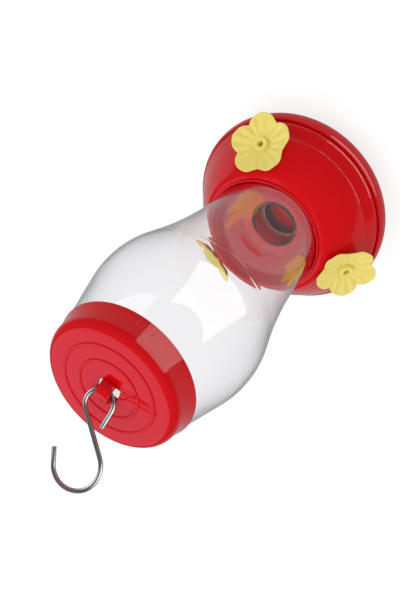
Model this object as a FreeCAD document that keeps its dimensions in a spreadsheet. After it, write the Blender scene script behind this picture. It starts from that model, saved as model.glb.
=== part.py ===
import FreeCAD, Part

import math
import os
import re

import Sketcher

# A hanging bird drinker: a clear bottle stands neck down in a round red base with three yellow
# flowers, and a red cap with a bar for a steel S-hook closes its upper end.
# Millimetres, +Z up, origin at the middle of the dish's flat underside.

DOC = FreeCAD.newDocument("bird_water_drinker")
SHEET = DOC.addObject("Spreadsheet::Sheet", "Sizes")

# Driving sizes, one cell each
SIZES = {
    # dish, the lower half of the base
    "rim_radius": 63.7,
    "rim_height": 20.2,
    "belly_curve": 39.3,
    "belly_turn": 45.0,
    "dish_wall": 1.8,
    "lip_rise": 4.8,
    "lip_bead": 10.3,
    "lip_width": 1.1,
    "seat_drop": 7.0,
    "seat_width": 1.9,
    "rib_length": 40.0,
    "rib_width": 3.4,
    "rib_gap": 2.5,
    "rib_turn": -17.5,
    # cover, the upper half of the base
    "cover_clearance": 0.3,
    "cover_wall": 1.8,
    "edge_rise": 0.5,
    "roll_width": 0.75,
    "roll_height": 2.5,
    "roll_curve": 4.5,
    "flange_share": 0.215,
    "flange_height": 6.0,
    "step_width": 0.4,
    "step_height": 0.3,
    "dome_curve": 133.0,
    "dome_width": 6.45,
    "dome_drop": 2.0,
    "shoulder_width": 3.8,
    "shoulder_curve": 5.0,
    "deck_height": 57.8,
    "deck_wall": 3.8,
    "collar_rise": 2.2,
    "collar_width": 1.3,
    "collar_round": 0.8,
    "socket_boss": 5.0,
    "socket_depth": 9.0,
    # bottle
    "bottle_wall": 1.1,
    "neck_radius": 15.2,
    "neck_wall": 2.0,
    "neck_length": 13.3,
    "neck_clearance": 0.3,
    "neck_land": 4.65,
    "waist_radius": 35.55,
    "waist_rise": 1.1,
    "bulge_radius": 49.35,
    "bulge_rise": 100.0,
    "bulge_curve": 60.0,
    "taper_turn": 15.0,
    "taper_rise": 46.6,
    "crown_round": 4.0,
    "crown_gap": 1.4,
    # hanger cap
    "cap_clearance": 0.3,
    "cap_wall": 1.5,
    "cap_plate": 1.8,
    "cap_height": 14.9,
    "cap_flare": 0.7,
    "skirt_edge": 0.5,
    "skirt_pinch": 1.85,
    "skirt_rise": 4.8,
    "bead_bulge": 0.5,
    "bead_rise": 4.1,
    "ring_outer": 25.9,
    "ring_inner": 16.8,
    "ring_width": 1.8,
    "ring_proud": 0.55,
    "bridge_outer": 6.4,
    "bridge_inner": 3.8,
    "bridge_width": 7.3,
    "slot_length": 12.6,
    "grip_count": 4,
    "grip_turn": -89.5,
    "grip_pitch": 4.5,
    "grip_sweep": 0.6,
    "grip_proud": 0.15,
    "gate_along": 14.8,
    "gate_across": 2.9,
    "gate_radius": 0.6,
    "gate_proud": 0.35,
    # steel hook
    "wire_radius": 1.2,
    "hook_clearance": 0.3,
    "hook_small": 7.2,
    "hook_large": 11.9,
    "hook_offset": 6.8,
    "hook_rise": 30.5,
    "hook_leg": 9.2,
    "hook_tip": 8.6,
    "hook_tip_turn": 31.0,
    "hook_lean": 42.0,
    # flowers
    "flower_count": 3,
    "flower_turn": 179.0,
    "flower_share": 0.380,
    "flower_stand": 5.56,
    "flower_tilt": 13.46,
    "petal_count": 5,
    "petal_centre": 10.2,
    "petal_radius": 9.0,
    "petal_wall": 1.0,
    "petal_rise": 1.6,
    "cup_depth": 2.4,
    "cup_floor": 5.2,
    "cup_sag": 0.45,
    "head_radius": 4.5,
    "head_round": 0.6,
    "stem_radius": 3.5,
    "stem_bore": 1.9,
    "stem_tail": 2.0,
    "stem_clearance": 0.15,
}

# Sizes that follow from the others, worked out by the sheet
FORMULAS = {
    "lip_height": "rim_height + lip_rise",
    "lip_inner": "rim_radius - lip_bead + sqrt(lip_bead^2 - lip_rise^2) - lip_width",
    "seat_height": "lip_height - seat_drop",
    "rim_curve": "(rim_height - belly_curve * (1 - cos(belly_turn))) / cos(belly_turn)",
    "foot_radius": "rim_radius - rim_curve * (1 - sin(belly_turn)) - belly_curve * sin(belly_turn)",
    "cover_edge": "lip_inner - cover_clearance",
    "roll_radius": "cover_edge - roll_width",
    "roll_top": "lip_height + edge_rise + roll_height",
    "flange_radius": "roll_radius - (roll_radius - dome_radius) * flange_share",
    "flange_top": "roll_top + flange_height",
    "dome_foot": "flange_radius + step_width",
    "dome_low": "flange_top + step_height",
    "dome_radius": "waist_radius + dome_width",
    "dome_height": "deck_height - dome_drop",
    "collar_height": "deck_height + collar_rise",
    "collar_inner": "waist_radius + neck_clearance",
    "shoulder_radius": "neck_radius + neck_land",
    "bottle_shoulder": "waist_radius - shoulder_radius",
    "well_curve": "bottle_shoulder + neck_clearance",
    "well_floor": "collar_height - well_curve",
    "mouth_height": "collar_height - bottle_shoulder - neck_length",
    "rib_top": "mouth_height - rib_gap",
    "waist_height": "collar_height + waist_rise",
    "bulge_height": "waist_height + bulge_rise",
    "flare_turn": "2 * atan((bulge_radius - waist_radius) / bulge_rise)",
    "waist_curve": "bulge_rise / sin(flare_turn) - bulge_curve",
    "cap_seat": "bulge_height + taper_rise",
    "taper_start": "bulge_radius - bulge_curve * (1 - cos(taper_turn))",
    "taper_end": "taper_start - (taper_rise - bulge_curve * sin(taper_turn)) * tan(taper_turn)",
    "cap_top": "cap_seat + cap_height",
    "cap_edge": "taper_end + cap_flare",
    "cap_waist": "cap_edge - skirt_pinch",
    "cap_bead": "cap_waist + bead_bulge",
    "skirt_curve": "(skirt_pinch^2 + skirt_rise^2) / 2 / skirt_pinch",
    "bead_curve": "(bead_bulge^2 + bead_rise^2) / 2 / bead_bulge",
    "bead_round": "cap_height - skirt_edge - skirt_rise - bead_rise",
    "ring_curve": "ring_width^2 / 8 / ring_proud + ring_proud / 2",
    "crown_radius": "cap_waist - cap_wall - cap_clearance",
    "crown_top": "cap_top - cap_plate - crown_gap",
    "hook_near": "bridge_inner + sqrt((hook_small - wire_radius - hook_clearance)^2 - (bridge_width / 2)^2)",
    "flower_lean": "atan((dome_height - dome_low) / (dome_foot - dome_radius)) / 1 deg - flower_tilt",
    "flower_reach": "dome_foot + (dome_radius - dome_foot) * flower_share + flower_stand * sin(flower_lean)",
    "flower_height": "dome_low + (dome_height - dome_low) * flower_share + flower_stand * cos(flower_lean)",
    "stem_low": "0 - cup_depth - petal_wall - socket_depth - stem_tail",
    "petal_reach": "petal_centre + petal_radius",
    "notch_radius": "petal_centre * cos(180 / petal_count)"
                    " + sqrt(petal_radius^2 - (petal_centre * sin(180 / petal_count))^2)",
}

# Each flower is pressed in at its own turn about its stem
FLOWER_SPIN = (-3.0, 6.0, 0.0)

CELLS = list(SIZES.items()) + [(alias, "=" + formula) for alias, formula in FORMULAS.items()]
for row, (alias, content) in enumerate(CELLS, start=1):
    SHEET.set("A%d" % row, alias)
    SHEET.setAlias("B%d" % row, alias)
    SHEET.set("B%d" % row, str(content))
DOC.recompute()

NAMES = re.compile(r"\b(%s)\b" % "|".join(alias for alias, content in CELLS))


def bound(expression):
    """Write a size expression the way another object of the document reads it."""
    return NAMES.sub(r"Sizes.\1", str(expression))


def value(expression):
    """Work out a size expression in millimetres or degrees."""
    result = SHEET.evalExpression(bound(expression))
    return float(getattr(result, "Value", result))


def origin(body, role):
    """One of a body's own base planes or axes."""
    return next(feature for feature in body.Origin.OriginFeatures if feature.Role == role)


def arc_centre(start, end, radius, side):
    """Centre of the arc from start to end; side +1 has it on the left of the chord, -1 on the right."""
    run = (end[0] - start[0], end[1] - start[1])
    chord = math.hypot(*run)
    height = math.sqrt(max(radius * radius - chord * chord / 4.0, 0.0))
    middle = ((start[0] + end[0]) / 2.0, (start[1] + end[1]) / 2.0)
    return (middle[0] - side * run[1] / chord * height, middle[1] + side * run[0] / chord * height)


def constrain(sketch, kind, *items):
    """Add a constraint whose last item is a size expression, and bind it to the sheet."""
    sketch.addConstraint(Sketcher.Constraint(kind, *items[:-1], value(items[-1])))
    sketch.setExpression("Constraints[%d]" % (sketch.ConstraintCount - 1), bound(items[-1]))


def pin(sketch, geometry, point, x, y):
    """Fix a point of a sketch at (x, y)."""
    for kind, axis, place in (("DistanceX", -2, x), ("DistanceY", -1, y)):
        if abs(value(place)) < 1e-6:
            sketch.addConstraint(Sketcher.Constraint("PointOnObject", geometry, point, axis))
        else:
            constrain(sketch, kind, -1, 1, geometry, point, place)


def new_sketch(body, name, role="XZ_Plane", offset="placement(vector(0; 0; 0); rotation(0; 0; 0))"):
    """Empty sketch on a base plane of a body, set off from it by a placement expression."""
    sketch = body.newObject("Sketcher::SketchObject", name)
    sketch.AttachmentSupport = [(origin(body, role), "")]
    sketch.MapMode = "FlatFace"
    sketch.setExpression("AttachmentOffset", bound(offset))
    return sketch


def outline(sketch, corners):
    """Closed outline of lines and arcs.

    Each corner is (x, y), reached by a straight line, or (x, y, bend, side), reached by an arc
    whose centre lies to the left (+1) or right (-1) of its chord."""
    points = [(value(corner[0]), value(corner[1])) for corner in corners]
    ends = []
    for index, corner in enumerate(corners):
        start, end = points[index - 1], points[index]
        if len(corner) == 2:
            line = Part.LineSegment(FreeCAD.Vector(*start, 0), FreeCAD.Vector(*end, 0))
            sketch.addGeometry(line, False)
            ends.append((1, 2))
            continue
        centre = arc_centre(start, end, value(corner[2]), corner[3])
        angles = [math.atan2(p[1] - centre[1], p[0] - centre[0]) for p in (start, end)]
        if corner[3] < 0:
            angles.reverse()
        circle = Part.Circle(FreeCAD.Vector(*centre, 0), FreeCAD.Vector(0, 0, 1), value(corner[2]))
        sketch.addGeometry(Part.ArcOfCircle(circle, angles[0], angles[1]), False)
        ends.append((1, 2) if corner[3] > 0 else (2, 1))
    for index, corner in enumerate(corners):
        after = (index + 1) % len(corners)
        joint = Sketcher.Constraint("Coincident", index, ends[index][1], after, ends[after][0])
        sketch.addConstraint(joint)
        pin(sketch, index, ends[index][1], corner[0], corner[1])
        if len(corner) == 4:
            constrain(sketch, "Radius", index, corner[2])
    return sketch


def round_outline(sketch, radius, x="0", y="0"):
    """Full circle about (x, y)."""
    circle = Part.Circle(FreeCAD.Vector(value(x), value(y), 0), FreeCAD.Vector(0, 0, 1), value(radius))
    index = sketch.addGeometry(circle, False)
    pin(sketch, index, 3, x, y)
    constrain(sketch, "Radius", index, radius)
    return sketch


def feature(body, kind, name, profile, **settings):
    """Add a solid feature to a body. Settings that are text are bound to the sheet."""
    solid = body.newObject("PartDesign::" + kind, name)
    solid.Profile = profile
    for key, setting in settings.items():
        if isinstance(setting, str) and key not in ("SideType", "Type"):
            solid.setExpression(key, bound(setting))
        else:
            setattr(solid, key, setting)
    body.Tip = solid
    return solid


def turned(body, name, corners, angle="360", offset=None):
    """Half section in the XZ plane, revolved about Z."""
    sketch = new_sketch(body, name + "_profile")
    if offset:
        sketch.setExpression("AttachmentOffset", bound(offset))
    outline(sketch, corners)
    return feature(body, "Revolution", name, sketch, ReferenceAxis=(sketch, ["V_Axis"]), Angle=angle)


def rectangle(length, width):
    """Corners of a rectangle about the middle."""
    half, wide = "(%s) / 2" % length, "(%s) / 2" % width
    return [("0 - " + half, "0 - " + wide), (half, "0 - " + wide), (half, wide), ("0 - " + half, wide)]


def lifted(height):
    """Placement expression at a height above the plane."""
    return "placement(vector(0; 0; %s); rotation(0; 0; 0))" % height


def flower_place(azimuth, along="0", spin="0"):
    """Placement expression of a flower: local +Z leans outwards from the tip of its tube."""
    reach = "(flower_reach + (%s) * sin(flower_lean))" % along
    return "placement(vector(%s * cos(%s); %s * sin(%s); flower_height + (%s) * cos(flower_lean)); " \
        "rotation(%s; flower_lean; 0) * rotation(%s; 0; 0))" \
        % (reach, azimuth, reach, azimuth, along, azimuth, spin)


def base_dish():
    """Red dish: a flat-bottomed bowl with a rounded rim, a seat for the cover and a rib under the neck."""
    body = DOC.addObject("PartDesign::Body", "base_dish")
    inside = "(belly_curve - dish_wall)"

    def belly(bend):
        return ("foot_radius + %s * sin(belly_turn)" % bend, "belly_curve - %s * cos(belly_turn)" % bend)

    turned(body, "dish_bowl", [
        ("0", "0"),
        ("foot_radius", "0"),
        (*belly("belly_curve"), "belly_curve", 1),
        ("rim_radius", "rim_height", "rim_curve", 1),
        ("lip_inner + lip_width", "lip_height", "lip_bead", 1),
        ("lip_inner", "lip_height"),
        ("lip_inner", "seat_height"),
        ("lip_inner - seat_width", "seat_height"),
        belly(inside),
        ("foot_radius", "dish_wall", inside, -1),
        ("0", "dish_wall"),
    ])
    floor = "placement(vector(0; 0; dish_wall / 2); rotation(rib_turn; 0; 0))"
    rib = outline(new_sketch(body, "rib_outline", "XY_Plane", floor), rectangle("rib_length", "rib_width"))
    feature(body, "Pad", "dish_rib", rib, Length="rib_top - dish_wall / 2")
    return body


def base_cover():
    """Red cover: a dome up to the bottle's collar, a well for its shoulder, and a socket for each flower."""
    body = DOC.addObject("PartDesign::Body", "base_cover")
    neck = "neck_radius + neck_clearance"
    under = "deck_height - deck_wall"
    turned(body, "cover_shell", [
        ("cover_edge", "seat_height"),
        ("cover_edge", "lip_height + edge_rise"),
        ("roll_radius", "roll_top", "roll_curve", 1),
        ("flange_radius", "flange_top"),
        ("dome_foot", "dome_low"),
        ("dome_radius", "dome_height", "dome_curve", 1),
        ("dome_radius - shoulder_width", "deck_height", "shoulder_curve", 1),
        ("collar_inner + collar_width", "deck_height"),
        ("collar_inner + collar_width", "collar_height - collar_round"),
        ("collar_inner + collar_width - collar_round", "collar_height", "collar_round", 1),
        ("collar_inner", "collar_height"),
        ("shoulder_radius", "well_floor", "well_curve", -1),
        (neck, "well_floor"),
        (neck, "mouth_height"),
        (neck + " + cover_wall", "mouth_height"),
        (neck + " + cover_wall", "well_floor - cover_wall"),
        ("shoulder_radius", "well_floor - cover_wall"),
        ("shoulder_radius + sqrt((well_curve + cover_wall)^2 - (collar_rise + deck_wall)^2)", under,
         "well_curve + cover_wall", 1),
        ("dome_radius - cover_wall * 0.8", under),
        ("cover_edge - cover_wall", "lip_height - cover_wall / 2", "dome_curve - cover_wall", -1),
        ("cover_edge - cover_wall", "seat_height"),
    ])
    seat = "0 - cup_depth - petal_wall"
    disc = new_sketch(body, "boss_outline", "XY_Plane", flower_place("flower_turn", seat))
    round_outline(disc, "socket_boss")
    boss = feature(body, "Pad", "socket_boss", disc, Length="socket_depth", Reversed=True)
    hole = new_sketch(body, "bore_outline", "XY_Plane", flower_place("flower_turn"))
    round_outline(hole, "stem_radius + stem_clearance")
    bore = feature(body, "Pocket", "socket_bore", hole, Length="cup_depth + petal_wall + socket_depth * 1.5")
    sockets = body.newObject("PartDesign::PolarPattern", "sockets")
    sockets.Originals = [boss, bore]
    sockets.Axis = (origin(body, "Z_Axis"), [""])
    sockets.Angle = 360
    sockets.setExpression("Occurrences", bound("flower_count"))
    body.Tip = sockets
    return body


def bottle():
    """Clear blown bottle, neck down, closed at the upper end inside the cap."""
    body = DOC.addObject("PartDesign::Body", "bottle")
    floor = "collar_height - bottle_shoulder"

    def flare(wall):
        bend = "(waist_curve + %s)" % wall
        return (
            "waist_radius + waist_curve - %s * cos(flare_turn)" % bend,
            "waist_height + %s * sin(flare_turn)" % bend,
        )

    def taper(wall):
        bend = "(bulge_curve - %s)" % wall
        return (
            "bulge_radius - bulge_curve + %s * cos(taper_turn)" % bend,
            "bulge_height + %s * sin(taper_turn)" % bend,
        )

    turned(body, "bottle_shell", [
        ("neck_radius - neck_wall", "mouth_height"),
        ("neck_radius", "mouth_height"),
        ("neck_radius", floor),
        ("shoulder_radius", floor),
        ("waist_radius", "collar_height", "bottle_shoulder", 1),
        ("waist_radius", "waist_height"),
        (*flare("0"), "waist_curve", -1),
        (*taper("0"), "bulge_curve", 1),
        ("taper_end", "cap_seat"),
        ("crown_radius", "cap_seat"),
        ("crown_radius", "crown_top - crown_round"),
        ("crown_radius - crown_round", "crown_top", "crown_round", 1),
        ("0", "crown_top"),
        ("0", "crown_top - bottle_wall"),
        ("crown_radius - crown_round", "crown_top - bottle_wall"),
        ("crown_radius - bottle_wall", "crown_top - crown_round", "crown_round - bottle_wall", -1),
        ("crown_radius - bottle_wall", "cap_seat - bottle_wall"),
        (*taper("bottle_wall"),),
        (*flare("bottle_wall"), "bulge_curve - bottle_wall", -1),
        ("waist_radius - bottle_wall", "waist_height", "waist_curve + bottle_wall", 1),
        ("waist_radius - bottle_wall", "collar_height"),
        ("shoulder_radius", floor + " + bottle_wall", "bottle_shoulder - bottle_wall", -1),
        ("neck_radius - neck_wall", floor + " + bottle_wall"),
    ])
    return body


def hanger_cap():
    """Red cap: a pinched skirt, two rings on the face, grip lines, and a bar over a slot for the hook."""
    body = DOC.addObject("PartDesign::Body", "hanger_cap")
    edge = "cap_seat + skirt_edge"
    pinch = edge + " + skirt_rise"
    corners = [
        ("cap_edge - cap_wall", "cap_seat"),
        ("cap_edge", "cap_seat"),
        ("cap_edge", edge),
        ("cap_waist", pinch, "skirt_curve", -1),
        ("cap_bead", pinch + " + bead_rise", "bead_curve", 1),
        ("cap_bead - bead_round", "cap_top", "bead_round", 1),
    ]
    for ring in ("ring_outer", "ring_inner"):
        corners.append((ring + " + ring_width / 2", "cap_top"))
        corners.append((ring + " - ring_width / 2", "cap_top", "ring_curve", 1))
    corners += [
        ("0", "cap_top"),
        ("0", "cap_top - cap_plate"),
        ("cap_waist - cap_wall - crown_round", "cap_top - cap_plate"),
        ("cap_waist - cap_wall", "cap_top - cap_plate - crown_round", "crown_round", -1),
        ("cap_waist - cap_wall", pinch),
    ]
    turned(body, "cap_shell", corners)

    line = turned(body, "grip_line", [
        ("cap_waist - cap_wall / 2", edge),
        ("cap_edge", edge),
        ("cap_waist + grip_proud", pinch, "skirt_curve", -1),
        ("cap_waist + grip_proud", pinch + " + bead_rise / 2"),
        ("cap_waist - cap_wall / 2", pinch + " + bead_rise / 2"),
    ], "grip_sweep", "placement(vector(0; 0; 0); rotation(0; grip_turn; 0))")
    lines = body.newObject("PartDesign::PolarPattern", "grip_lines")
    lines.Originals = [line]
    lines.Axis = (origin(body, "Z_Axis"), [""])
    lines.Reversed = True
    lines.setExpression("Angle", bound("grip_pitch * (grip_count - 1)"))
    lines.setExpression("Occurrences", bound("grip_count"))
    body.Tip = lines

    pip = new_sketch(body, "gate_outline", "XY_Plane", lifted("cap_top"))
    round_outline(pip, "gate_radius", "0 - gate_along", "gate_across")
    feature(body, "Pad", "gate_pip", pip, Length="gate_proud")

    slot = outline(new_sketch(body, "slot_outline", "XY_Plane", lifted("cap_top + ring_proud")),
                   rectangle("slot_length", "2 * bridge_inner"))
    feature(body, "Pocket", "hook_slot", slot, Length="cap_plate * 2 + ring_proud")

    foot = "cap_top - cap_plate / 2"
    arch = outline(new_sketch(body, "bar_outline", "YZ_Plane"), [
        ("0 - bridge_outer", foot),
        ("0 - bridge_inner", foot),
        ("0 - bridge_inner", "cap_top"),
        ("0", "cap_top + bridge_inner", "bridge_inner", -1),
        ("bridge_inner", "cap_top", "bridge_inner", -1),
        ("bridge_inner", foot),
        ("bridge_outer", foot),
        ("bridge_outer", "cap_top"),
        ("0", "cap_top + bridge_outer", "bridge_outer", 1),
        ("0 - bridge_outer", "cap_top", "bridge_outer", 1),
    ])
    feature(body, "Pad", "hanging_bar", arch, Length="bridge_width", SideType="Symmetric")
    return body


def hanging_hook():
    """Bent steel wire, an S of two open loops, leaning in its plane through the bar's axis."""
    body = DOC.addObject("PartDesign::Body", "hanging_hook")
    small, large = value("hook_small"), value("hook_large")
    low = FreeCAD.Vector(0, value("hook_near"), 0)
    high = low + FreeCAD.Vector(-value("hook_offset"), value("hook_rise"), 0)

    # the stem is the inner tangent of the two loops
    span = high - low
    slope = math.atan2(span.y, span.x) - math.acos((small + large) / span.Length)
    normal = FreeCAD.Vector(math.cos(slope), math.sin(slope), 0)
    turn = math.radians(value("hook_tip_turn"))
    start = low + FreeCAD.Vector(-small, 0, 0)
    leg = start + FreeCAD.Vector(0, value("hook_leg"), 0)
    tip = high + FreeCAD.Vector(math.cos(turn), math.sin(turn), 0) * large
    end = tip + FreeCAD.Vector(math.sin(turn), -math.cos(turn), 0) * value("hook_tip")
    up = FreeCAD.Vector(0, 0, 1)
    back = math.atan2(-normal.y, -normal.x)

    path = new_sketch(body, "wire_path", "XY_Plane")
    path.addGeometry([
        Part.LineSegment(leg, start),
        Part.ArcOfCircle(Part.Circle(low, up, small), math.pi, 2 * math.pi + slope),
        Part.LineSegment(low + normal * small, high - normal * large),
        Part.ArcOfCircle(Part.Circle(high, up, large), turn, back),
        Part.LineSegment(tip, end),
    ], False)
    for first, last, second, begin in ((0, 2, 1, 1), (1, 2, 2, 1), (2, 2, 3, 2), (3, 1, 4, 1)):
        path.addConstraint(Sketcher.Constraint("Tangent", first, last, second, begin))
    path.addConstraint(Sketcher.Constraint("Vertical", 0))
    path.addConstraint(Sketcher.Constraint("PointOnObject", 1, 3, -2))
    constrain(path, "DistanceY", -1, 1, 1, 3, "hook_near")
    constrain(path, "Radius", 1, "hook_small")
    constrain(path, "DistanceX", 3, 3, 1, 3, "hook_offset")
    constrain(path, "DistanceY", 1, 3, 3, 3, "hook_rise")
    constrain(path, "Radius", 3, "hook_large")
    constrain(path, "Distance", 0, "hook_leg")
    constrain(path, "Distance", 4, "hook_tip")
    constrain(path, "DistanceX", 3, 3, 4, 1, "hook_large * cos(hook_tip_turn)")

    section = new_sketch(body, "wire_section", "XZ_Plane", lifted("0 - hook_near - hook_leg"))
    round_outline(section, "wire_radius", "0 - hook_small")
    feature(body, "AdditivePipe", "bent_wire", section, Spine=(path, []))
    body.setExpression("Placement", bound("placement(vector(0; 0; cap_top); rotation(0; 0; hook_lean))"))
    return body


def flower(index):
    """Yellow flower: a five-lobed cup round a hollow tube whose stem presses into the cover."""
    name = "flower_%d" % (index + 1)
    body = DOC.addObject("PartDesign::Body", name)
    middle = "(cup_floor + petal_reach) / 2"
    sag = "(petal_rise - cup_depth) / 2 - cup_sag"
    turned(body, name + "_cup", [
        ("stem_bore", "stem_low"),
        ("stem_radius", "stem_low"),
        ("stem_radius", "0 - cup_depth - petal_wall"),
        ("cup_floor", "0 - cup_depth - petal_wall"),
        (middle, sag + " - petal_wall"),
        ("petal_reach", "petal_rise - petal_wall"),
        ("petal_reach", "petal_rise"),
        (middle, sag),
        ("cup_floor", "0 - cup_depth"),
        ("head_radius", "0 - cup_depth"),
        ("head_radius", "0 - head_round"),
        ("head_radius - head_round", "0", "head_round", 1),
        ("stem_bore", "0"),
    ])
    count = int(value("petal_count"))
    petals = new_sketch(body, name + "_petals", "XY_Plane", lifted("petal_rise + petal_wall"))
    step = 360.0 / count
    turns = [step * (lobe + 0.5) for lobe in range(count)]
    notches = [("notch_radius * cos(%s)" % turn, "notch_radius * sin(%s)" % turn) for turn in turns]
    outline(petals, [(*notch, "petal_radius", 1) for notch in notches])
    round_outline(petals, "petal_reach + petal_wall")
    feature(body, "Pocket", name + "_lobes", petals, Length="cup_depth + 3 * petal_wall + petal_rise")
    azimuth = "(flower_turn + %s / flower_count)" % (360.0 * index)
    place = flower_place(azimuth, spin=FLOWER_SPIN[index % len(FLOWER_SPIN)])
    body.setExpression("Placement", bound(place))
    return body


pieces = [base_dish(), base_cover(), bottle(), hanger_cap(), hanging_hook()]
pieces += [flower(index) for index in range(int(value("flower_count")))]
for piece in pieces:
    piece.Label = piece.Name
DOC.recompute()

# Every object must have worked out before anything is written
for obj in DOC.Objects:
    if "Invalid" in obj.State or "Error" in obj.State:
        raise RuntimeError("%s did not recompute: %s" % (obj.Name, obj.State))
for piece in pieces:
    shape = piece.Shape
    if shape.isNull() or not shape.isValid() or len(shape.Solids) != 1:
        raise RuntimeError("%s has no single valid solid" % piece.Label)

os.makedirs("parts", exist_ok=True)
for piece in pieces:
    piece.Shape.exportStep(os.path.join("parts", piece.Label + ".step"))
    box = piece.Shape.BoundBox
    print("%-14s volume %9.1f  x %7.1f %7.1f  y %7.1f %7.1f  z %7.1f %7.1f" % (
        piece.Label, piece.Shape.Volume, box.XMin, box.XMax, box.YMin, box.YMax, box.ZMin, box.ZMax))
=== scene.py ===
"""A hanging bird drinker: a clear bottle neck down in a red base with yellow flowers, under a red cap
with a steel S-hook. Lengths are in metres, and heights start at the dish's flat underside."""

import math

import bpy
from bpy.props import FloatProperty, FloatVectorProperty, IntProperty, PointerProperty
from bpy.types import Operator, Panel, PropertyGroup
from mathutils import Matrix, Vector


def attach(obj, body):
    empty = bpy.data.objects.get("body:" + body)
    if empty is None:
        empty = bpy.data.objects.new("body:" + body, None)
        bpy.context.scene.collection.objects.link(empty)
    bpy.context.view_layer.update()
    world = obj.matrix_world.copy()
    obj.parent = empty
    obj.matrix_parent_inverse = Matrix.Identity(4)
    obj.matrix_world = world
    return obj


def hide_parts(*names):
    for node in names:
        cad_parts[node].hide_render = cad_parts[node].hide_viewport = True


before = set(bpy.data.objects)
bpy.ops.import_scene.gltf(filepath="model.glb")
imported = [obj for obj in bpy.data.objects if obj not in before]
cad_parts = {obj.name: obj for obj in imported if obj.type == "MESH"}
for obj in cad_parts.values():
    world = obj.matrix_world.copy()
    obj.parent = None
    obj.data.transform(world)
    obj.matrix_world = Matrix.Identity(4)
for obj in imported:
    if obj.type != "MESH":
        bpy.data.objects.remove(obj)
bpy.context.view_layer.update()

bl_info = {
    "name": "Hanging Bird Drinker",
    "version": (1, 0, 0),
    "blender": (4, 5, 0),
    "location": "View3D > Sidebar > Drinker",
    "description": "Finished shapes, plastics, wire and studio for the hanging bird drinker",
    "category": "Object",
}

MM = 0.001
MERGE = 0.0005 * MM
# Rounds of edges and corners
SOFT_EDGE = 0.5 * MM
STEP_ROUND = 0.22 * MM
NECK_ROUND = 1.2 * MM
SKIRT_EDGE = 0.3 * MM
PLATE_ROUND = 4.0 * MM
BAR_EDGE = 0.4 * MM
WIRE_EDGE = 0.25 * MM
STEM_EDGE = 0.4 * MM
PETAL_EDGE = 0.3 * MM
# A petal's face: rings, ridges, droop at its sides, and how much of its rise is straight and curved
CUP_RINGS = 14
RIDGES = 3.0
PETAL_DROOP = 0.5 * MM
CUP_STRAIGHT, CUP_CURVED = 0.72, 0.28
# Its flutes: how fast and how late they come in, where they start to go and how much of them goes
FLUTE_GAIN, FLUTE_DELAY = 1.8, 0.3
FLUTE_END, FLUTE_LOSS = 0.75, 0.7
WHITE = (1.0, 1.0, 1.0, 1.0)
DRINKER_MIDDLE = (0, 0, 0.12)
HOOK_MIDDLE = (0, 0.01, 0.24)
# Softboxes that light the whole object: name, place, width, depth, level
SOFTBOXES = (
    ("Overhead Softbox", (0.0, 0.1, 1.5), 2.4, 2.4, 1.55),
    ("Front Softbox", (-0.5, -1.5, 1.0), 1.4, 1.2, 1.6),
    ("Left Softbox", (-1.4, 0.5, 0.8), 1.2, 1.2, 1.2),
    ("Right Softbox", (1.4, 0.0, 0.8), 1.2, 1.2, 1.2),
)
# Panels that only show as reflections: name, place, aim, width, depth, level
SKIRT_PANELS = (("Skirt Panel", (-0.083, -0.171, 0.2), (0, 0, 0.215), 0.19, 0.2, 2.0),)
BOTTLE_PANELS = (
    ("Window Panel", (-0.066, -0.1335, 0.1145), (-0.016, -0.0395, 0.1705), 0.18, 0.093, 3.6),
    ("Shoulder Panel", (0.193, -0.23, 0.19), (0, 0, 0.19), 0.26, 0.14, 2.0),
)
EDGE_PANELS = (("Edge Panel", (-0.052, -0.094, 0.014), (0, 0, 0.02), 0.11, 0.026, 3.0),)
HOOK_PANELS = (
    ("Hook Panel Left", (-0.36, -0.074, 0.394), HOOK_MIDDLE, 0.45, 0.5, 1.5),
    ("Hook Panel Right", (0.376, -0.056, 0.36), HOOK_MIDDLE, 0.3, 0.5, 1.2),
)
# Each set of panels with the pieces that it lights
REFLECTIONS = (
    (SKIRT_PANELS, ("hanging_cap",)),
    (BOTTLE_PANELS, ("clear_bottle",)),
    (EDGE_PANELS, ("cover", "dish")),
    (HOOK_PANELS, ("wire_hook",)),
)
# How brightly the floor glows for each kind of ray, and what the world adds to its even light
FLOOR_GLOW = (("Is Camera Ray", 0.76), ("Is Transmission Ray", -0.1), ("Is Glossy Ray", 0.8),
              ("Glossy Depth", -0.65))
FLOOR_SEEN = (("Is Camera Ray", 1.0), ("Is Transmission Ray", 1.0), ("Is Glossy Ray", 1.0))
SKY_SEEN = (("Is Camera Ray", 0.84), ("Is Transmission Ray", 0.7))


def size(label, about, millimetres):
    """A length property whose default is given in millimetres."""
    return FloatProperty(name=label, description=about, default=millimetres * MM, precision=5, unit="LENGTH")


def turn(label, about, degrees):
    """An angle property whose default is given in degrees."""
    return FloatProperty(name=label, description=about, default=math.radians(degrees), subtype="ANGLE")


def amount(label, about, value):
    """A plain factor."""
    return FloatProperty(name=label, description=about, default=value, precision=3)


def colour(label, about, value):
    """A linear colour."""
    return FloatVectorProperty(name=label, description=about, default=value, size=3, subtype="COLOR")


def point(label, about, *place):
    """A place, in metres."""
    return FloatVectorProperty(name=label, description=about, default=place, size=len(place),
                               subtype="TRANSLATION", unit="LENGTH")


def direction(label, about, *way):
    """A direction."""
    return FloatVectorProperty(name=label, description=about, default=way, size=3, subtype="DIRECTION")


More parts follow.
